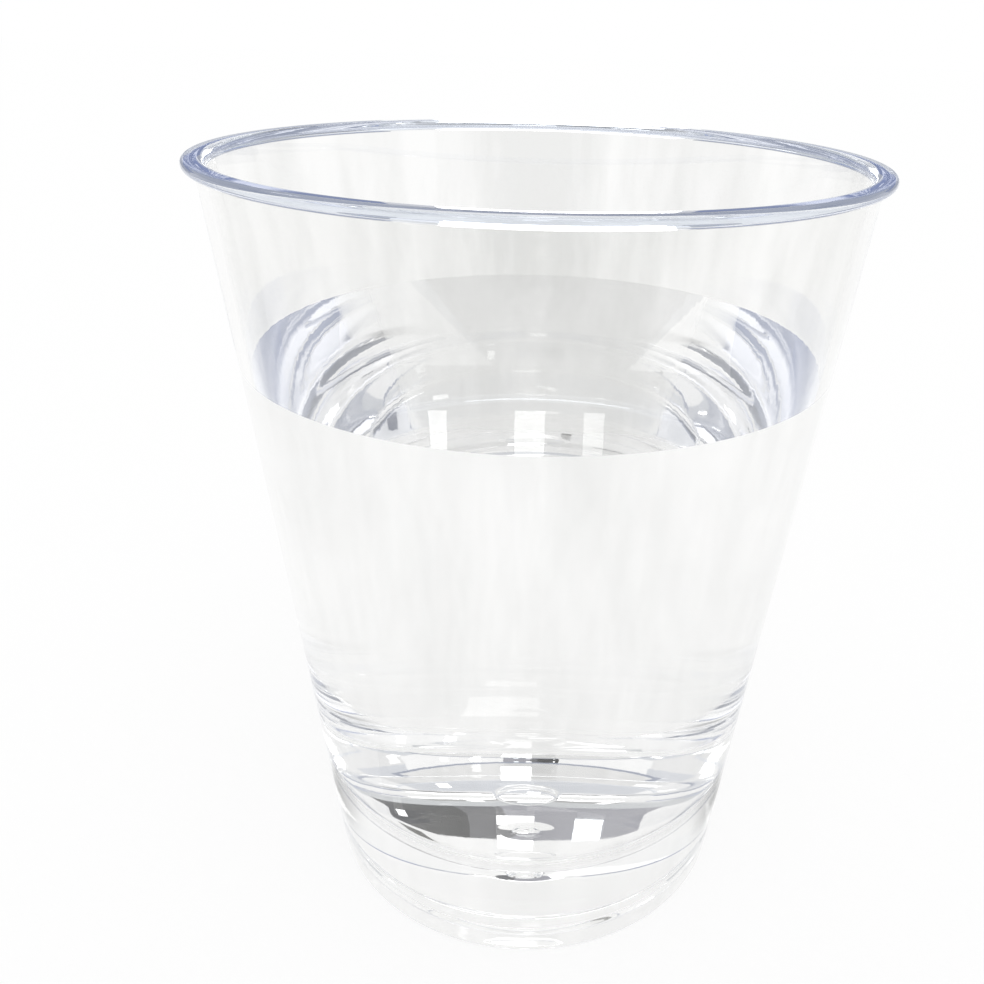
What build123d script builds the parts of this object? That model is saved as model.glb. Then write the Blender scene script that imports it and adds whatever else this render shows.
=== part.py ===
"""A small tapered shot glass, injection moulded in one piece from clear plastic, and the water in it.

Units are millimetres. The origin is the centre of the foot, on the table, with +Z up the axis of the cup.
"""
import os

from build123d import *

# Outside of the cup
cup_height = 59.8
rim_diameter = 48.0
foot_diameter = 34.9
foot_edge_radius = 0.4
# Thickness of the straight tapered wall, measured across the cup and the same at every height
wall_thickness = 0.75

# Lip, which turns outwards from the top of the wall
lip_overhang = 0.7
lip_thickness = 0.7
lip_root_radius = 0.3
mouth_edge_radius = 0.5

# Thick clear base
floor_height = 7.9
floor_corner_radius = 5.0
recess_diameter = 23.0
recess_depth = 1.1
recess_corner_radius = 0.4

# Marks left by moulding: a shallow round dimple in the floor and a cut gate stub under it
dimple_diameter = 3.9
dimple_depth = 0.3
dimple_edge_slope = 0.25
gate_diameter = 1.6
gate_height = 0.4

# Still water, measured from the table
water_level = 46.1

rim_radius = rim_diameter / 2
foot_radius = foot_diameter / 2
recess_radius = recess_diameter / 2
dimple_radius = dimple_diameter / 2
lip_base = cup_height - lip_thickness
lip_edge_radius = lip_thickness / 2


def outside_radius(height):
    """Outer radius of the tapered wall at a height, on a line from the foot to the rim plane."""
    widening = rim_radius - lip_overhang - foot_radius
    return foot_radius + widening * height / cup_height


def inside_radius(height):
    """Inner radius of the tapered wall at a height above the table."""
    return outside_radius(height) - wall_thickness


def round_corner(sketch, point, radius):
    """Round the one corner of a sketch that lies nearest to a point of its outline."""
    fillet(sketch.vertices().sort_by_distance(point)[0], radius=radius)


# Hollow of the cup, from its floor to the rim plane, with the dimple in the middle of the floor
with BuildPart() as hollow:
    with BuildSketch(Plane.XZ) as hollow_section:
        with BuildLine():
            Polyline(
                (0, floor_height - dimple_depth),
                (dimple_radius - dimple_edge_slope, floor_height - dimple_depth),
                (dimple_radius, floor_height),
                (inside_radius(floor_height), floor_height),
                (inside_radius(cup_height), cup_height),
                (0, cup_height),
                close=True,
            )
        make_face()
        round_corner(hollow_section, (inside_radius(floor_height), floor_height), floor_corner_radius)
    revolve(axis=Axis.Z)

with BuildPart() as cup:
    # Outline of the moulding: recessed base, foot, tapered wall and the lip that overhangs it
    with BuildSketch(Plane.XZ) as outside_section:
        with BuildLine():
            Polyline(
                (0, recess_depth),
                (recess_radius, recess_depth),
                (recess_radius, 0),
                (foot_radius, 0),
                (outside_radius(lip_base), lip_base),
                (rim_radius - lip_edge_radius, lip_base),
            )
            ThreePointArc(
                (rim_radius - lip_edge_radius, lip_base),
                (rim_radius, cup_height - lip_edge_radius),
                (rim_radius - lip_edge_radius, cup_height),
            )
            Polyline((rim_radius - lip_edge_radius, cup_height), (0, cup_height), (0, recess_depth))
        make_face()
        round_corner(outside_section, (recess_radius, recess_depth), recess_corner_radius)
        round_corner(outside_section, (foot_radius, 0), foot_edge_radius)
        round_corner(outside_section, (outside_radius(lip_base), lip_base), lip_root_radius)
    revolve(axis=Axis.Z)

    add(hollow.part, mode=Mode.SUBTRACT)

    # Inner edge of the mouth, the smaller of the two circles on top of the lip
    rim_circles = cup.edges().filter_by(GeomType.CIRCLE).group_by(Axis.Z)[-1]
    fillet(rim_circles.sort_by(SortBy.RADIUS)[0], radius=mouth_edge_radius)

    # Gate stub in the recess, short of the table
    with BuildSketch(Plane.XY.offset(recess_depth)):
        Circle(gate_diameter / 2)
    extrude(amount=-gate_height)
cup.part.label = "cup"

# Water fills the hollow up to its level, against the floor and the wall
with BuildPart() as water:
    add(hollow.part)
    split(bisect_by=Plane.XY.offset(water_level), keep=Keep.BOTTOM)
water.part.label = "water"

os.makedirs("parts", exist_ok=True)
export_step(cup.part, "parts/cup.step")
export_step(water.part, "parts/water.step")
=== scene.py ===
"""A clear plastic shot glass, part filled with water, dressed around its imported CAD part.

The glass and the water are surfaces of revolution, worked out with numpy from the same sizes as the CAD.
Lengths are metres. The origin is the centre of the foot, on the table, with +Z up the axis of the glass.
"""

import math

import bpy
import numpy as np
from bpy.props import FloatProperty, FloatVectorProperty, IntProperty, PointerProperty
from mathutils import Matrix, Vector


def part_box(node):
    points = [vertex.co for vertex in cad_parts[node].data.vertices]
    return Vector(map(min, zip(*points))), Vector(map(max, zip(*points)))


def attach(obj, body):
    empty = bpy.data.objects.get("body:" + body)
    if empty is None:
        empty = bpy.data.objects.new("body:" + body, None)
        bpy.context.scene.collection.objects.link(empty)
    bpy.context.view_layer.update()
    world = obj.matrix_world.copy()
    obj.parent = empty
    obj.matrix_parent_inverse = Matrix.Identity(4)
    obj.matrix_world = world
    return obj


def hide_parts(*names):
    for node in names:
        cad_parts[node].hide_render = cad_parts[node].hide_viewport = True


bl_info = {
    "name": "Shot Glass",
    "version": (1, 0, 0),
    "blender": (4, 5, 0),
    "location": "View3D > Sidebar > Shot Glass",
    "description": "Makes a clear plastic shot glass with water in it, and the stage it stands on",
    "category": "Object",
}

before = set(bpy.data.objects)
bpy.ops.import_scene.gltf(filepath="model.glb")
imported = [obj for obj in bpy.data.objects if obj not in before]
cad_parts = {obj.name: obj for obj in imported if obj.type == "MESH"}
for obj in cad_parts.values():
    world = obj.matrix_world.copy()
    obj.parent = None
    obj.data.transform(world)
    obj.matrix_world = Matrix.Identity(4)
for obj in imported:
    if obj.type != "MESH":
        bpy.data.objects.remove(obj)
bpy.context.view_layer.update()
cup_low, cup_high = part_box("cup")
water_low, water_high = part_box("water")

MM = 0.001
VECTOR_MATH = "ShaderNodeVectorMath"
BLACK = (0, 0, 0, 1)
WHITE = (1, 1, 1, 1)

# Refraction of the plastic and of the water against air
PLASTIC_INDEX = 1.59
WATER_INDEX = 1.33

# Longest run between two rows of faces, the radius of edges that are all but sharp, and how far the skin of
# the water is pushed into the plastic
ROW = 1.2 * MM
SHARP_EDGE = 0.08 * MM
OVERLAP = 0.02 * MM

# Depth of the round mark in the floor, which the water fills
DIMPLE_DEPTH = 0.3 * MM

# Flow streaks in the wall: how far the height moves their noise on, for each metre, and how much the fine
# ones add to the broad ones, in colour and in relief
STREAK_RISE = 9.0
FINE_STREAKS = 0.35
FINE_RELIEF = 0.5

# How often a ray turns in the plastic before the render gives it up, and the heights over which the painted
# glow that it then brings changes from the base's to the lower wall's, and from there to the upper wall's
DEEPEST = 14
BASE_TO_WALL = (8 * MM, 16 * MM)
WALL_TO_LIP = (30 * MM, 34 * MM)

# The floor: half its width, and its height, which is just under the foot
FLOOR_HALF = 2.0
FLOOR_HEIGHT = -0.03 * MM

# Arc of shade along each side of the foot: its radii, its angles from the side, front ones below nothing,
# and how softly its edges fade across it and along it
SHADE_NEAR, SHADE_FAR = 19.8 * MM, 24 * MM
SHADE_FRONT, SHADE_BACK = math.radians(-20), math.radians(3)
SHADE_SOFT_ACROSS, SHADE_SOFT_ALONG = 1.2 * MM, math.radians(8)

# The soft light: how wide it is, and how far it leans from straight overhead
LIGHT_WIDTH = math.radians(40)
LIGHT_LEAN = (math.radians(20), math.radians(6), 0)


def length(name, description, default):
    """One length of the object, in metres, as a property that a user can change."""
    return FloatProperty(
        name=name, description=description, default=default,
        min=0.0, precision=5, subtype="DISTANCE", unit="LENGTH",
    )


def tint(name, description, default):
    """One linear colour as a property that a user can change."""
    return FloatVectorProperty(
        name=name, description=description, default=default, min=0.0, max=1.0, size=3, subtype="COLOR"
    )


def share(name, description, default):
    """One plain number from nothing to one, as a property that a user can change."""
    return FloatProperty(name=name, description=description, default=default, min=0.0, max=1.0)


def turn(name, description, default):
    """One angle, in radians, as a property that a user can change."""
    return FloatProperty(name=name, description=description, default=default, subtype="ANGLE")


class ShotGlassSizes(bpy.types.PropertyGroup):
    """Sizes of the moulding and the water. Height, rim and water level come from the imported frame."""

    height: length("Height", "Height of the glass", cup_high.z)
    rim_diameter: length("Rim diameter", "Outer diameter of the lip", cup_high.x - cup_low.x)
    foot_diameter: length("Foot diameter", "Outer diameter of the wall at the table", 34.9 * MM)
    foot_edge: length("Foot edge", "Radius of the outer edge of the foot", 0.4 * MM)
    wall: length("Wall", "Thickness of the tapered wall", 0.75 * MM)
    lip_overhang: length("Lip overhang", "How far the lip stands out from the wall", 0.7 * MM)
    lip_thickness: length("Lip thickness", "Height of the lip's round edge", 0.7 * MM)
    lip_root: length("Lip root", "Radius where the lip meets the wall", 0.3 * MM)
    mouth_edge: length("Mouth edge", "Radius of the inner edge of the mouth", 0.5 * MM)
    dimple_diameter: length("Dimple diameter", "Diameter of the round mark in the floor", 3.9 * MM)
    dimple_depth: length("Dimple depth", "Depth of the round mark in the floor", DIMPLE_DEPTH)
    dimple_slope: length("Dimple slope", "Width of the sloped edge of the round mark", 0.25 * MM)
    floor_height: length("Floor height", "Height of the floor inside", water_low.z + DIMPLE_DEPTH)
    floor_corner: length("Floor corner", "Radius between the floor and the wall inside", 5.0 * MM)
    recess_diameter: length("Recess diameter", "Diameter of the shallow recess under the base", 23.0 * MM)
    recess_depth: length("Recess depth", "Depth of the recess under the base", 1.1 * MM)
    recess_corner: length("Recess corner", "Radius of the inner corner of the recess", 0.4 * MM)
    gate_diameter: length("Gate diameter", "Diameter of the cut gate stub", 1.6 * MM)
    gate_height: length("Gate height", "Height of the cut gate stub", 0.4 * MM)
    water_level: length("Water level", "Height of the still water above the table", water_high.z)
    segments: IntProperty(name="Segments", description="Faces round the axis", default=384, min=32, max=512)


class ShotGlassFinish(bpy.types.PropertyGroup):
    """Colours and small marks of the plastic and the water."""

    plastic: tint("Plastic", "Colour that the clear wall lets through", (0.985, 0.985, 0.979))
    # The streak colour also paints shade: a darker band high up in the front and back of the wall
    streak_and_shade: tint("Streak and shade", "Colour of the soft upright flow streaks in the wall", (0.86, 0.862, 0.853))
    lip: tint("Lip", "Colour of the lip, where light travels along inside the plastic", (0.80, 0.84, 0.91))
    water: tint("Water", "Colour of the water", (0.99, 0.993, 0.996))
    # The three trapped light colours paint a glow: emission that stands in for light lost inside the plastic
    trapped: tint("Trapped light", "Light that keeps turning inside the lower wall", (0.60, 0.61, 0.65))
    trapped_lip: tint("Trapped light, lip", "The same, in the upper wall and lip", (0.165, 0.18, 0.225))
    trapped_base: tint("Trapped light, base", "The same, in the thick base", (0.17, 0.19, 0.26))
    polish: share("Polish", "Roughness of the moulded surface", 0.012)
    ripple: share("Ripple", "Strength of the flow lines left by moulding", 0.05)
    wetted: share("Wetted marks", "How much of the wall's colour is left on its wetted side", 0.1)


class ShotGlassStudio(bpy.types.PropertyGroup):
    """Camera, floor and lights of the stage."""

    camera_back: length("Camera back", "Distance of the camera in front of the axis", 70.606 * MM)
    camera_up: length("Camera up", "Height of the camera above the table", 68.191 * MM)
    pitch: turn("Pitch", "How far the camera looks down", 0.4603)
    yaw: turn("Yaw", "How far the camera looks to the right", 0.0156)
    roll: turn("Roll", "How far the camera is turned about its view", 0.0302)
    focal: FloatProperty(name="Focal length", description="Focal length, in millimetres", default=34.93)
    shift: FloatProperty(name="Shift", description="Sideways shift of the camera's frame", default=-0.05605)
    floor: tint("Floor", "Colour of the floor", (0.12, 0.12, 0.12))
    floor_lift: share("Floor lift", "Part of the floor's white that has no shade", 0.88)
    contact: share("Contact shade", "Depth of the shade that shows through the base", 0.7)
    fill: share("Fill", "Strength of the even light from all round", 0.75)
    key: share("Key", "What the soft light from above adds to the fill", 0.25)


class ShotGlassSettings(bpy.types.PropertyGroup):
    """Everything that the panel shows."""

    sizes: PointerProperty(type=ShotGlassSizes)
    finish: PointerProperty(type=ShotGlassFinish)
    studio: PointerProperty(type=ShotGlassStudio)


def rounded(corners, step=math.radians(9)):
    """Outline through corners, each a radius from the axis, a height and a corner radius. Straight runs are
    joined by arcs that touch both: the arc's centre lies on the line that halves the corner's angle, at the
    corner radius divided by the sine of half that angle, and its points turn evenly about that centre."""
    spots = np.array([c[:2] for c in corners], float)
    pieces = [spots[:1]]
    for before, spot, after, corner in zip(spots, spots[1:], spots[2:], corners[1:-1]):
        if corner[2] == 0:
            pieces.append(spot[None])
            continue
        back, ahead = before - spot, after - spot
        back, ahead = back / np.linalg.norm(back), ahead / np.linalg.norm(ahead)
        half = math.acos(np.clip(back @ ahead, -1, 1)) / 2
        middle = (back + ahead) / np.linalg.norm(back + ahead)
        centre = spot + middle * corner[2] / math.sin(half)
        first = spot + back * corner[2] / math.tan(half) - centre
        bend = math.pi - 2 * half
        side = np.sign(first[0] * middle[1] - first[1] * middle[0]) or 1.0
        angle = -side * np.linspace(0, bend, max(3, math.ceil(bend / step)) + 1)
        pieces.append(centre + np.stack([
            first[0] * np.cos(angle) - first[1] * np.sin(angle),
            first[0] * np.sin(angle) + first[1] * np.cos(angle),
        ], 1))
    return np.concatenate(pieces + [spots[-1:]])


def divided(outline, longest):
    """The same outline with rows added evenly, so that no run between two rows is longer than longest."""
    runs = np.maximum(1, np.ceil(np.linalg.norm(np.diff(outline, axis=0), axis=1) / longest)).astype(int)
    place = np.concatenate([k + np.arange(n) / n for k, n in enumerate(runs)] + [[len(runs)]])
    steps = np.arange(len(outline))
    return np.stack([np.interp(place, steps, outline[:, 0]), np.interp(place, steps, outline[:, 1])], 1)


def revolved(outline, segments):
    """Surface of two parameters, the place along an outline and the angle round the axis. A point is at
    (radius times cosine, radius times sine, height). Both ends of the outline lie on the axis, and each is
    one vertex with a fan of triangles, so the surface is closed. Faces look outwards where the outline runs
    from the underside, out and up, and back to the axis."""
    radius, height = outline[1:-1, 0], outline[1:-1, 1]
    angle = np.arange(segments) * (2 * np.pi / segments)
    rings = np.stack([
        np.outer(radius, np.cos(angle)),
        np.outer(radius, np.sin(angle)),
        np.repeat(height[:, None], segments, 1),
    ], 2)
    ends = np.array([[0, 0, outline[0, 1]], [0, 0, outline[-1, 1]]])
    points = np.concatenate([ends[:1], rings.reshape(-1, 3), ends[1:]])
    here = 1 + np.arange(len(radius) * segments).reshape(len(radius), segments)
    beside = np.roll(here, -1, axis=1)
    quads = np.stack([here[:-1], beside[:-1], beside[1:], here[1:]], 2).reshape(-1, 4)
    start, end = np.zeros(segments, int), np.full(segments, len(points) - 1)
    under = np.stack([start, beside[0], here[0]], 1)
    over = np.stack([end, here[-1], beside[-1]], 1)
    rows = np.concatenate([
        np.zeros(segments, int),
        np.repeat(np.arange(1, len(radius)), segments),
        np.full(segments, len(radius)),
    ])
    return points, under, quads, over, rows


def solid(name, outline, segments, materials, slot_of_row, sharp=math.radians(25)):
    """A mesh object from a revolved outline. slot_of_row gives each row of faces its material."""
    points, under, quads, over, rows = revolved(outline, segments)
    loops = np.concatenate([under.ravel(), quads.ravel(), over.ravel()])
    counts = np.concatenate([np.full(len(under), 3), np.full(len(quads), 4), np.full(len(over), 3)])
    mesh = bpy.data.meshes.new(name)
    mesh.vertices.add(len(points))
    mesh.vertices.foreach_set("co", points.ravel())
    mesh.loops.add(len(loops))
    mesh.loops.foreach_set("vertex_index", loops)
    mesh.polygons.add(len(counts))
    mesh.polygons.foreach_set("loop_start", np.cumsum(counts) - counts)
    for material in materials:
        mesh.materials.append(material)
    mesh.polygons.foreach_set("material_index", np.asarray(slot_of_row, int)[rows])
    mesh.update(calc_edges=True)
    if mesh.validate():
        raise ValueError(f"{name} has faces that don't close")
    mesh.shade_smooth()
    mesh.set_sharp_from_angle(angle=sharp)
    made = bpy.data.objects.new(name, mesh)
    bpy.context.scene.collection.objects.link(made)
    return made


def outside_radius(sizes, height):
    """Outer radius of the tapered wall: it grows evenly from the foot to the rim plane."""
    foot = sizes.foot_diameter / 2
    return foot + (sizes.rim_diameter / 2 - sizes.lip_overhang - foot) * height / sizes.height


def inside_radius(sizes, height):
    """Inner radius of the tapered wall at a height above the table."""
    return outside_radius(sizes, height) - sizes.wall


def hollow_corners(sizes, level):
    """Corners of the hollow from a level on its wall down to the middle of its floor. The radius of the
    round mark's edges is a little more than its depth."""
    dimple = sizes.dimple_diameter / 2
    dimple_edge = sizes.dimple_depth * 1.3
    floor = sizes.floor_height
    return [
        (inside_radius(sizes, level), level, 0),
        (inside_radius(sizes, floor), floor, sizes.floor_corner),
        (dimple, floor, dimple_edge),
        (dimple - sizes.dimple_slope, floor - sizes.dimple_depth, dimple_edge),
        (0, floor - sizes.dimple_depth, 0),
    ]


def cup_outline(sizes):
    """Outline of the moulding and the row from which water wets it. It runs from the gate stub under the
    base, round the foot, up the wall, over the lip, and down inside to the middle of the floor. The lip's
    round edge is two arcs, a hair smaller than half its height, so that they don't end in one point."""
    gate, recess = sizes.gate_diameter / 2, sizes.recess_diameter / 2
    lip_base = sizes.height - sizes.lip_thickness
    lip_edge = sizes.lip_thickness / 2 * 0.999
    dry = [
        (0, sizes.recess_depth - sizes.gate_height, 0),
        (gate, sizes.recess_depth - sizes.gate_height, SHARP_EDGE),
        (gate, sizes.recess_depth, SHARP_EDGE),
        (recess, sizes.recess_depth, sizes.recess_corner),
        (recess, 0, SHARP_EDGE),
        (sizes.foot_diameter / 2, 0, sizes.foot_edge),
        (outside_radius(sizes, lip_base), lip_base, sizes.lip_root),
        (sizes.rim_diameter / 2, lip_base, lip_edge),
        (sizes.rim_diameter / 2, sizes.height, lip_edge),
        (inside_radius(sizes, sizes.height), sizes.height, sizes.mouth_edge),
        (inside_radius(sizes, sizes.water_level), sizes.water_level, 0),
    ]
    dry_rows = divided(rounded(dry), ROW)
    wet_rows = divided(rounded(hollow_corners(sizes, sizes.water_level), step=math.radians(4)), ROW)
    return np.concatenate([dry_rows, wet_rows[1:]]), len(dry_rows) - 1


def water_outline(sizes, overlap):
    """Outline of the water: the hollow's wall and floor pushed into the plastic by overlap, so that no gap
    shows, and the level surface."""
    wall = rounded(hollow_corners(sizes, sizes.water_level), step=math.radians(6))[::-1]
    wall = wall + np.array([overlap, -overlap]) * (wall[:, :1] > 0)
    wall[-1, 1] = sizes.water_level
    wall[0, 1] -= overlap
    top = np.array([[0.0, sizes.water_level]])
    rows = divided(np.concatenate([wall, top]), ROW)
    return rows, int(np.argmax(rows[:, 1] > sizes.water_level - 1e-9))


def node(tree, kind, **values):
    """A node of a tree. A value is for an attribute of the node or, after in_, for one of its inputs."""
    made = tree.nodes.new(kind)
    for name, value in values.items():
        if name.startswith("in_"):
            made.inputs[name[3:].replace("_", " ")].default_value = value
        else:
            setattr(made, name, value)
    return made


def feed(tree, source, target):
    """Gives an input the output of another node, or else a plain value."""
    if isinstance(source, bpy.types.NodeSocket):
        tree.links.new(source, target)
    else:
        target.default_value = source


def worked(tree, operation, *sources, kind="ShaderNodeMath", output=0):
    """Output of a math node, whose sources are plain values or the outputs of other nodes."""
    made = node(tree, kind, operation=operation)
    for source, target in zip(sources, made.inputs):
        feed(tree, source, target)
    return made.outputs[output]


def ramp(tree, value, low, high, start=0.0, end=1.0, shape="SMOOTHSTEP"):
    """Number that goes from start to end while a value goes from low to high, and no further."""
    made = node(tree, "ShaderNodeMapRange", clamp=True, interpolation_type=shape)
    ends = ((low, "From Min"), (high, "From Max"), (start, "To Min"), (end, "To Max"))
    for source, name in ((value, "Value"), *ends):
        feed(tree, source, made.inputs[name])
    return made.outputs[0]


def blend(tree, part, first, second):
    """Colour that is the first one where part is nothing and the second where it is one."""
    made = node(tree, "ShaderNodeMix", data_type="RGBA")
    for source, place in ((part, 0), (first, 6), (second, 7)):
        feed(tree, source, made.inputs[place])
    return made.outputs[2]


def noise(tree, place, scale, detail, roughness=0.5):
    """Noise at a place, a number that is mostly about a half."""
    made = node(tree, "ShaderNodeTexNoise", in_Scale=scale, in_Detail=detail, in_Roughness=roughness)
    tree.links.new(place, made.inputs["Vector"])
    return made.outputs["Fac"]


def axes(tree, vector):
    """The outputs X, Y and Z of a vector."""
    apart = node(tree, "ShaderNodeSeparateXYZ")
    tree.links.new(vector, apart.inputs[0])
    return apart.outputs


def object_place(tree):
    """Where a point lies on its object."""
    return node(tree, "ShaderNodeTexCoord").outputs["Object"]


def socket(group, name, direction, kind, default=None):
    """Adds a named input or output to a node group."""
    made = group.interface.new_socket(name=name, in_out=direction, socket_type=kind)
    if default is not None:
        made.default_value = default


def marks_group():
    """Node group with what moulding leaves on clear plastic: upright flow streaks, which are noise on the
    direction from the axis and so hardly change with height, fine scuffs, and a lip in its own colour. It
    also
    paints shade: a darker band high up in the front and back of the wall, in the streaks' colour."""
    name = "moulding marks"
    if name in bpy.data.node_groups:
        return bpy.data.node_groups[name]
    group = bpy.data.node_groups.new(name, "ShaderNodeTree")
    socket(group, "Vector", "INPUT", "NodeSocketVector")
    socket(group, "Plastic", "INPUT", "NodeSocketColor", WHITE)
    socket(group, "Streak and shade", "INPUT", "NodeSocketColor", (0.9, 0.9, 0.9, 1))
    socket(group, "Lip", "INPUT", "NodeSocketColor", (0.7, 0.75, 0.9, 1))
    socket(group, "Lip base", "INPUT", "NodeSocketFloat", 0.059)
    socket(group, "Polish", "INPUT", "NodeSocketFloat", 0.01)
    socket(group, "Color", "OUTPUT", "NodeSocketColor")
    socket(group, "Roughness", "OUTPUT", "NodeSocketFloat")
    socket(group, "Height", "OUTPUT", "NodeSocketFloat")
    given = node(group, "NodeGroupInput").outputs
    result = node(group, "NodeGroupOutput").inputs
    link = group.links.new

    # Noise on the direction from the axis, which the height moves on slowly, and noise on the place itself
    height = axes(group, given["Vector"])["Z"]
    flat = worked(group, "MULTIPLY", given["Vector"], (1, 1, 0), kind=VECTOR_MATH)
    around = worked(group, "NORMALIZE", flat, kind=VECTOR_MATH)
    rise = node(group, "ShaderNodeCombineXYZ")
    link(worked(group, "MULTIPLY", height, STREAK_RISE), rise.inputs["Z"])
    place = worked(group, "ADD", around, rise.outputs[0], kind=VECTOR_MATH)
    broad = noise(group, place, 3.2, 3.0, 0.55)
    fine = noise(group, place, 17.0, 2.0, 0.6)
    scuff = noise(group, given["Vector"], 900.0, 3.0, 0.7)

    # Streaks, and none in the middle of the base, with painted shade: a darker band high up in the front and
    # back of the wall, which the height fades in
    streaks = worked(group, "MULTIPLY_ADD", fine, FINE_STREAKS, broad)
    painted_shade_band = ramp(group, worked(group, "ABSOLUTE", axes(group, around)["Y"]), 0.95, 0.985, end=0.2)
    upper = ramp(group, height, 36 * MM, 50 * MM)
    shade = ramp(group, worked(group, "MULTIPLY_ADD", painted_shade_band, upper, streaks), 0.55, 0.88, shape="LINEAR")
    away = worked(group, "LENGTH", flat, kind=VECTOR_MATH, output="Value")
    outer = ramp(group, away, 11 * MM, 17 * MM)
    wall = blend(group, worked(group, "MULTIPLY", shade, outer), given["Plastic"], given["Streak and shade"])

    # The lip in its own colour
    lip = ramp(group, worked(group, "SUBTRACT", height, given["Lip base"]), -0.2 * MM, 0.1 * MM)
    link(blend(group, lip, wall, given["Lip"]), result["Color"])

    # Scuffs, and the relief of the streaks
    worn = ramp(group, scuff, 0.45, 0.75, 0.4, 2.2, shape="LINEAR")
    link(worked(group, "MULTIPLY", worn, given["Polish"]), result["Roughness"])
    relief = worked(group, "MULTIPLY_ADD", fine, FINE_RELIEF, broad)
    link(worked(group, "MULTIPLY", relief, outer), result["Height"])
    return group


def new_material(name):
    """An empty material with one Principled shader."""
    made = bpy.data.materials.new(name)
    made.use_nodes = True
    made.cycles.emission_sampling = "NONE"
    tree = made.node_tree
    tree.nodes.clear()
    shader = node(tree, "ShaderNodeBsdfPrincipled")
    output = node(tree, "ShaderNodeOutputMaterial")
    tree.links.new(shader.outputs[0], output.inputs["Surface"])
    return made, tree, shader


def plastic(name, index, sizes, finish, tinting=1.0):
    """Clear moulded plastic, with index as its refraction against what touches it: air, or water. The
    colours of its wall are as strong as tinting says."""
    made, tree, shader = new_material(name)
    link = tree.links.new
    shader.inputs["IOR"].default_value = index
    shader.inputs["Transmission Weight"].default_value = 1.0
    marks = node(tree, "ShaderNodeGroup", node_tree=marks_group())
    marks.inputs["Plastic"].default_value = (*(1 - tinting * (1 - c) for c in finish.plastic), 1)
    marks.inputs["Streak and shade"].default_value = (*(1 - tinting * (1 - c) for c in finish.streak_and_shade), 1)
    marks.inputs["Lip"].default_value = (*finish.lip, 1)
    marks.inputs["Lip base"].default_value = sizes.height - sizes.lip_thickness
    marks.inputs["Polish"].default_value = finish.polish
    link(object_place(tree), marks.inputs["Vector"])
    link(marks.outputs["Color"], shader.inputs["Base Color"])
    link(marks.outputs["Roughness"], shader.inputs["Roughness"])
    bump = node(tree, "ShaderNodeBump", in_Strength=finish.ripple, in_Distance=0.1 * MM)
    link(marks.outputs["Height"], bump.inputs["Height"])
    link(bump.outputs[0], shader.inputs["Normal"])
    trapped_light(tree, shader, finish)
    return made


def trapped_light(tree, shader, finish):
    """Painted glow where a ray has turned inside the plastic as often as the render follows it: emission in
    set colours that stands in for the light it would bring, paler in the lower wall than in the thick base,
    the upper wall and the lip, instead of black. Nothing glows to the eye or in a bake, where a ray's depth
    is nothing."""
    path = node(tree, "ShaderNodeLightPath")
    last = worked(tree, "GREATER_THAN", path.outputs["Ray Depth"], DEEPEST - 0.5)
    height = axes(tree, object_place(tree))["Z"]
    brought = (*finish.trapped_base, 1)
    for heights, colour in ((BASE_TO_WALL, finish.trapped), (WALL_TO_LIP, finish.trapped_lip)):
        brought = blend(tree, ramp(tree, height, *heights, shape="LINEAR"), brought, (*colour, 1))
    # Painted glow: emission in the set colours where a ray reaches the deepest turn
    tree.links.new(blend(tree, last, BLACK, brought), shader.inputs["Emission Color"])
    shader.inputs["Emission Strength"].default_value = 1.0


def water_surface(finish):
    """Still water with a faint broad swell."""
    made, tree, shader = new_material("water surface")
    shader.inputs["IOR"].default_value = WATER_INDEX
    shader.inputs["Transmission Weight"].default_value = 1.0
    shader.inputs["Roughness"].default_value = 0.0
    swell = noise(tree, object_place(tree), 45.0, 1.0)
    tree.links.new(blend(tree, swell, (*finish.water, 1), WHITE), shader.inputs["Base Color"])
    bump = node(tree, "ShaderNodeBump", in_Strength=0.05, in_Distance=0.2 * MM)
    tree.links.new(swell, bump.inputs["Height"])
    tree.links.new(bump.outputs[0], shader.inputs["Normal"])
    return made


def water_side(finish):
    """Skin of the water inside the plastic. It is open: the wetted plastic already bends the light there."""
    made, _, shader = new_material("water against the glass")
    shader.inputs["Base Color"].default_value = (*finish.water, 1)
    shader.inputs["Alpha"].default_value = 0.0
    return made


def ray_is(tree, *kinds):
    """One where a ray is of one of these kinds, as the Light Path node calls them, else nothing."""
    path = node(tree, "ShaderNodeLightPath")
    found = path.outputs[kinds[0]]
    for kind in kinds[1:]:
        found = worked(tree, "MAXIMUM", found, path.outputs[kind])
    return found


def seen_ray(tree):
    """One where a ray comes from the camera or has passed or glanced off something clear, else nothing."""
    return ray_is(tree, "Is Camera Ray", "Is Glossy Ray", "Is Transmission Ray")


def within(tree, value, low, high, soft):
    """One where a value lies between low and high, with edges that fade over soft on either side."""
    rise = ramp(tree, value, low - soft, low + soft)
    fall = ramp(tree, value, high - soft, high + soft, start=1.0, end=0.0)
    return worked(tree, "MULTIPLY", rise, fall)


def contact_shade(tree):
    """A soft arc of shade along either side of the foot, seen only through clear things: light comes there
    from front and back only. It is one where the floor is in full shade."""
    where = object_place(tree)
    apart = axes(tree, where)
    away = worked(tree, "LENGTH", where, kind=VECTOR_MATH, output="Value")
    angle = worked(tree, "ARCTAN2", apart["Y"], worked(tree, "ABSOLUTE", apart["X"]))
    across = within(tree, away, SHADE_NEAR, SHADE_FAR, SHADE_SOFT_ACROSS)
    along = within(tree, angle, SHADE_FRONT, SHADE_BACK, SHADE_SOFT_ALONG)
    arc = worked(tree, "MULTIPLY", across, along)
    return worked(tree, "MULTIPLY", arc, ray_is(tree, "Is Transmission Ray", "Is Glossy Ray"))


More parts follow.
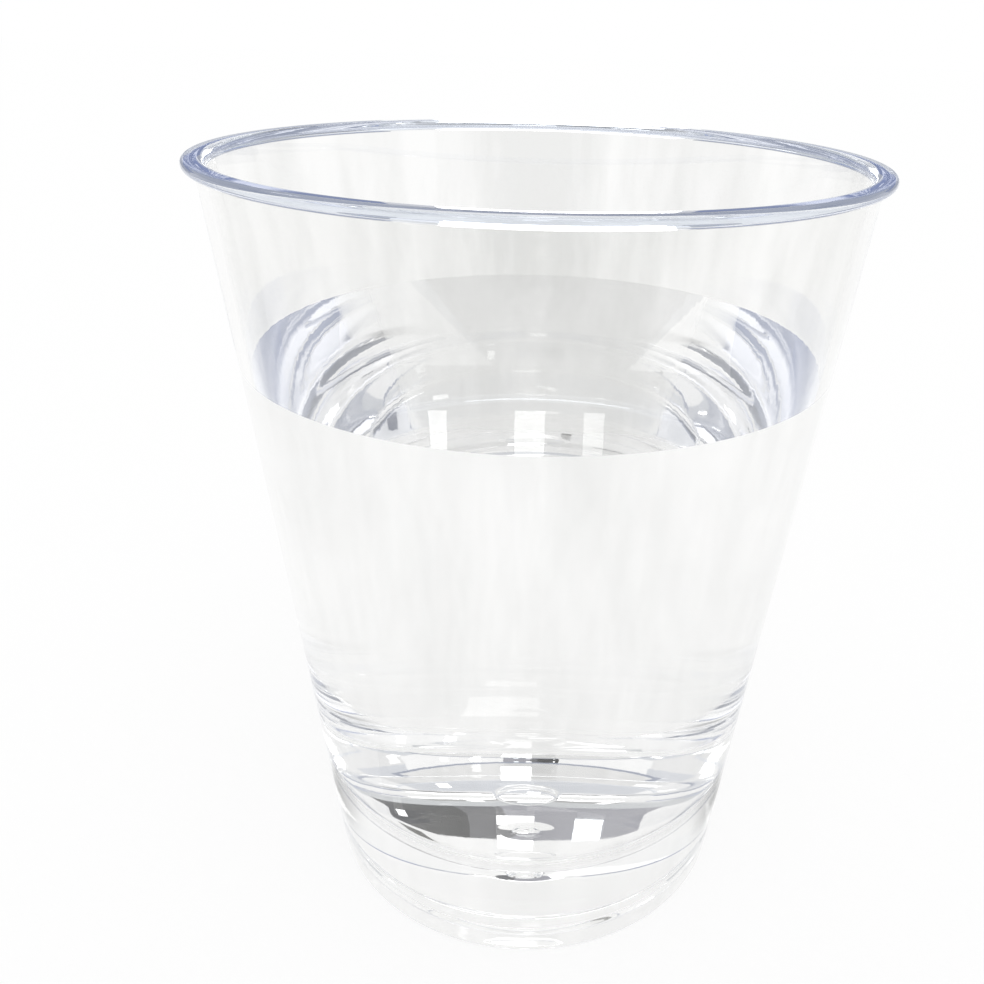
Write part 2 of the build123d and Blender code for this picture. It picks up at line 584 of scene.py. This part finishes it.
def floor_material(studio):
    """Pale floor that takes the object's shade, lifted towards white for the eye and for clear things."""
    made, tree, shader = new_material("pale floor")
    shader.inputs["Roughness"].default_value = 0.9
    shader.inputs["Specular IOR Level"].default_value = 0.0
    left = worked(tree, "MULTIPLY_ADD", contact_shade(tree), -studio.contact, 1)
    tree.links.new(blend(tree, left, BLACK, (*studio.floor, 1)), shader.inputs["Base Color"])
    white = worked(tree, "MULTIPLY", seen_ray(tree), left)
    shader.inputs["Emission Color"].default_value = WHITE
    tree.links.new(worked(tree, "MULTIPLY", white, studio.floor_lift), shader.inputs["Emission Strength"])
    return made


def studio_world(studio):
    """White all round for the eye and for clear things, and an even soft light for the rest."""
    world = bpy.data.worlds.new("studio")
    bpy.context.scene.world = world
    world.use_nodes = True
    tree = world.node_tree
    tree.nodes.clear()
    light = node(tree, "ShaderNodeBackground", in_Color=WHITE)
    strength = ramp(tree, seen_ray(tree), 0.0, 1.0, start=studio.fill, shape="LINEAR")
    tree.links.new(strength, light.inputs["Strength"])
    output = node(tree, "ShaderNodeOutputWorld")
    tree.links.new(light.outputs[0], output.inputs[0])


def patch(name, azimuth, elevation, distance, material, steps=(12, 6)):
    """Part of a sphere about the middle of the glass, as a surface of azimuth from +Y towards +X and
    elevation: a point is at distance times (cosine of elevation times sine of azimuth, cosine of elevation
    times cosine of azimuth, sine of elevation). Two azimuths are its left and right sides. Two more are the
    same at its upper edge, and the sides then lean in a straight line from one to the other."""
    across, up = np.meshgrid(np.linspace(0, 1, steps[0] + 1), np.linspace(0, 1, steps[1] + 1))
    left = azimuth[0] + (azimuth[-2] - azimuth[0]) * up
    right = azimuth[1] + (azimuth[-1] - azimuth[1]) * up
    aside = np.radians(left + (right - left) * across)
    lift = np.radians(elevation[0] + (elevation[1] - elevation[0]) * up)
    outwards = np.stack([np.cos(lift) * np.sin(aside), np.cos(lift) * np.cos(aside), np.sin(lift)], 2)
    points = distance * outwards
    here = np.arange(points.shape[0] * points.shape[1]).reshape(points.shape[:2])
    quads = np.stack([here[:-1, :-1], here[1:, :-1], here[1:, 1:], here[:-1, 1:]], 2).reshape(-1, 4)
    mesh = bpy.data.meshes.new(name)
    mesh.from_pydata(points.reshape(-1, 3), [], quads)
    mesh.materials.append(material)
    made = bpy.data.objects.new(name, mesh)
    bpy.context.scene.collection.objects.link(made)
    return made


# Cards and windows that only clear and shiny things show: azimuths of their sides and elevations of their
# edges in degrees, distance in metres, and colour
CARDS = {
    "room behind": ((-70, 70), (12, 37), 24, (0.62, 0.64, 0.66)),
    "dark doorway": ((-9.4, 12.3, -3.0, 6.3), (12, 19), 23, (0.40, 0.40, 0.40)),
    "dark doorway low": ((-8, 9), (19, 27), 23, (0.40, 0.40, 0.40)),
    "blue right": ((9, 46), (7, 12), 23, (0.15, 0.20, 0.42)),
    "blue left": ((-46, -9), (7, 12), 23, (0.15, 0.20, 0.42)),
    "table edge right": ((9, 46), (-2, 7), 23, (0.46, 0.48, 0.53)),
    "table edge left": ((-46, -9), (-2, 7), 23, (0.42, 0.44, 0.50)),
    "blue right high": ((20, 36), (12, 26), 23, (0.30, 0.36, 0.56)),
    "blue left high": ((-36, -20), (12, 26), 23, (0.30, 0.36, 0.56)),
    "dark corner right": ((60, 130), (20, 32), 24, (0.25, 0.27, 0.33)),
    "dark corner left": ((-130, -60), (20, 32), 24, (0.25, 0.27, 0.33)),
    "room in front low": ((115, 245), (20, 44), 24, (0.84, 0.84, 0.84)),
    "room in front": ((115, 245), (44, 58), 24, (0.68, 0.70, 0.74)),
    "dark corner in front": ((206, 219), (20.5, 23.5), 23, (0.02, 0.02, 0.03)),
    "beam right": ((9, 27), (36.5, 46.5), 22, (0.02, 0.02, 0.02)),
    "beam middle": ((3, 9), (36.5, 46.5), 22, (0.14, 0.14, 0.15)),
    "beam left": ((-21, 3), (36.5, 46.5), 22, (0.36, 0.36, 0.40)),
    "curtain right": ((20, 27), (48.3, 57), 22, (0.03, 0.03, 0.02)),
    "bright wall left": ((-14, -9.4, -14, -3.0), (13.5, 19), 22, (1.0, 1.0, 1.0)),
    "bright wall right": ((12.3, 14, 6.3, 14), (13.5, 19), 22, (1.3, 1.3, 1.3)),
    "window behind 1": ((-1.2, 4.5), (44.6, 48), 20, (2.0, 2.0, 2.0)),
    "window behind 2": ((-12.5, -7.5), (44.8, 46.6), 20, (1.9, 2.0, 2.05)),
    "window behind 3": ((22, 24.5), (43.8, 45), 20, (2.0, 2.0, 2.0)),
    "low window 1": ((-7.2, -6.0), (21.7, 27), 20, (3.0, 3.0, 3.0)),
    "low window 2": ((-1.4, 0.65), (21.7, 27), 20, (3.0, 3.0, 3.0)),
    "low window 3": ((3.3, 4.7), (21.7, 27), 20, (2.5, 2.5, 2.5)),
    "lip light": ((-6, 8), (-2, 12), 20, (4.0, 4.0, 4.0)),
    "window in front 1": ((168, 182), (30, 43), 20, (2.5, 2.5, 2.5)),
    "window in front 2": ((180, 188), (55, 61.5), 20, (3.0, 3.0, 3.0)),
    "window in front 3": ((134, 140), (48, 52), 20, (5.0, 5.0, 5.0)),
    "window in front 4": ((231, 241), (37, 43), 20, (1.6, 1.6, 1.6)),
    "window left 1": ((-79, -73), (39, 44), 20, (1.6, 1.6, 1.6)),
    "window left 2": ((-51, -43), (39, 45), 20, (4.0, 4.0, 4.0)),
    "light overhead": ((165, 195), (70, 80), 20, (2.5, 2.5, 2.5)),
}


def cards():
    """Cards round the stage. They show in the glass, and neither light the floor nor shade it."""
    for name, (azimuth, elevation, distance, colour) in CARDS.items():
        strength = max(*colour, 1)
        material, _, shader = new_material(name)
        shader.inputs["Base Color"].default_value = BLACK
        shader.inputs["Specular IOR Level"].default_value = 0.0
        shader.inputs["Emission Color"].default_value = (*(c / strength for c in colour), 1)
        shader.inputs["Emission Strength"].default_value = strength
        card = patch(name, azimuth, elevation, distance, material)
        card.visible_camera = card.visible_diffuse = card.visible_shadow = False
        card.visible_volume_scatter = False


def place_camera(studio):
    """Camera that looks along yaw and pitch, turned about its own view by roll."""
    yaw, pitch, roll = studio.yaw, studio.pitch, studio.roll
    forward = np.array([math.sin(yaw) * math.cos(pitch), math.cos(yaw) * math.cos(pitch), -math.sin(pitch)])
    level = np.array([math.cos(yaw), -math.sin(yaw), 0])
    upright = np.cross(level, forward)
    right = math.cos(roll) * level + math.sin(roll) * upright
    up = math.cos(roll) * upright - math.sin(roll) * level
    data = bpy.data.cameras.new("camera")
    camera = bpy.data.objects.new("camera", data)
    bpy.context.scene.collection.objects.link(camera)
    turned = np.eye(4)
    turned[:3, 0], turned[:3, 1], turned[:3, 2] = right, up, -forward
    turned[:3, 3] = (0, -studio.camera_back, studio.camera_up)
    camera.matrix_world = Matrix(turned.tolist())
    data.sensor_width = 36
    data.lens = studio.focal
    data.shift_x = studio.shift
    data.clip_start = 1 * MM
    bpy.context.scene.camera = camera


def settings(context):
    """The sizes, finish and studio of the scene."""
    group = context.scene.shot_glass
    return group.sizes, group.finish, group.studio


class SHOTGLASS_OT_stage(bpy.types.Operator):
    """Make the floor, the cards, the soft light and the camera"""

    bl_idname = "shot_glass.stage"
    bl_label = "Stage"

    def execute(self, context):
        scene = context.scene
        studio = scene.shot_glass.studio
        scene.view_settings.view_transform = "Standard"
        scene.cycles.max_bounces = DEEPEST
        scene.cycles.transmission_bounces = DEEPEST
        scene.cycles.glossy_bounces = DEEPEST
        scene.cycles.transparent_max_bounces = DEEPEST
        studio_world(studio)
        corners = [(-1, -1), (1, -1), (1, 1), (-1, 1)]
        points = [(x * FLOOR_HALF, y * FLOOR_HALF, FLOOR_HEIGHT) for x, y in corners]
        mesh = bpy.data.meshes.new("floor")
        mesh.from_pydata(points, [], [(0, 1, 2, 3)])
        mesh.materials.append(floor_material(studio))
        floor = bpy.data.objects.new("floor", mesh)
        scene.collection.objects.link(floor)
        data = bpy.data.lights.new("soft light", "SUN")
        data.energy = math.pi * studio.key
        data.angle = LIGHT_WIDTH
        lamp = bpy.data.objects.new("soft light", data)
        lamp.rotation_euler = LIGHT_LEAN
        lamp.visible_glossy = lamp.visible_transmission = lamp.visible_camera = False
        scene.collection.objects.link(lamp)
        cards()
        place_camera(studio)
        return {"FINISHED"}


class SHOTGLASS_OT_cup(bpy.types.Operator):
    """Make the glass itself, one clear moulding"""

    bl_idname = "shot_glass.cup"
    bl_label = "Glass"

    def execute(self, context):
        sizes, finish, _ = settings(context)
        outline, wet_from = cup_outline(sizes)
        wetted_index = PLASTIC_INDEX / WATER_INDEX
        materials = [
            plastic("clear plastic", PLASTIC_INDEX, sizes, finish),
            plastic("clear plastic against water", wetted_index, sizes, finish, finish.wetted),
        ]
        slots = np.arange(len(outline) - 1) >= wet_from
        cup = solid("moulded_glass", outline, sizes.segments, materials, slots)
        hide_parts("cup")
        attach(cup, "root")
        return {"FINISHED"}


class SHOTGLASS_OT_water(bpy.types.Operator):
    """Make the water in the glass"""

    bl_idname = "shot_glass.water"
    bl_label = "Water"

    def execute(self, context):
        sizes, finish, _ = settings(context)
        outline, top_from = water_outline(sizes, OVERLAP)
        materials = [water_surface(finish), water_side(finish)]
        slots = np.arange(len(outline) - 1) < top_from
        water = solid("still_water", outline, sizes.segments, materials, slots)
        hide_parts("water")
        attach(water, "root")
        return {"FINISHED"}


class SHOTGLASS_PT_panel(bpy.types.Panel):
    """Sizes, finish, studio and the buttons that make each piece"""

    bl_idname = "SHOTGLASS_PT_panel"
    bl_label = "Shot Glass"
    bl_space_type = "VIEW_3D"
    bl_region_type = "UI"
    bl_category = "Shot Glass"

    def draw(self, context):
        for group in settings(context):
            box = self.layout.box()
            for name in group.__annotations__:
                box.prop(group, name)
        for operator in OPERATORS:
            self.layout.operator(operator.bl_idname)


OPERATORS = (SHOTGLASS_OT_stage, SHOTGLASS_OT_cup, SHOTGLASS_OT_water)
CLASSES = (
    ShotGlassSizes, ShotGlassFinish, ShotGlassStudio, ShotGlassSettings, *OPERATORS, SHOTGLASS_PT_panel,
)


def register():
    for kind in CLASSES:
        bpy.utils.register_class(kind)
    bpy.types.Scene.shot_glass = PointerProperty(type=ShotGlassSettings)


def unregister():
    del bpy.types.Scene.shot_glass
    for kind in reversed(CLASSES):
        bpy.utils.unregister_class(kind)


def main():
    """Makes the stage and every piece."""
    register()
    bpy.ops.shot_glass.stage()
    bpy.ops.shot_glass.cup()
    bpy.ops.shot_glass.water()


if __name__ == "__main__":
    main()
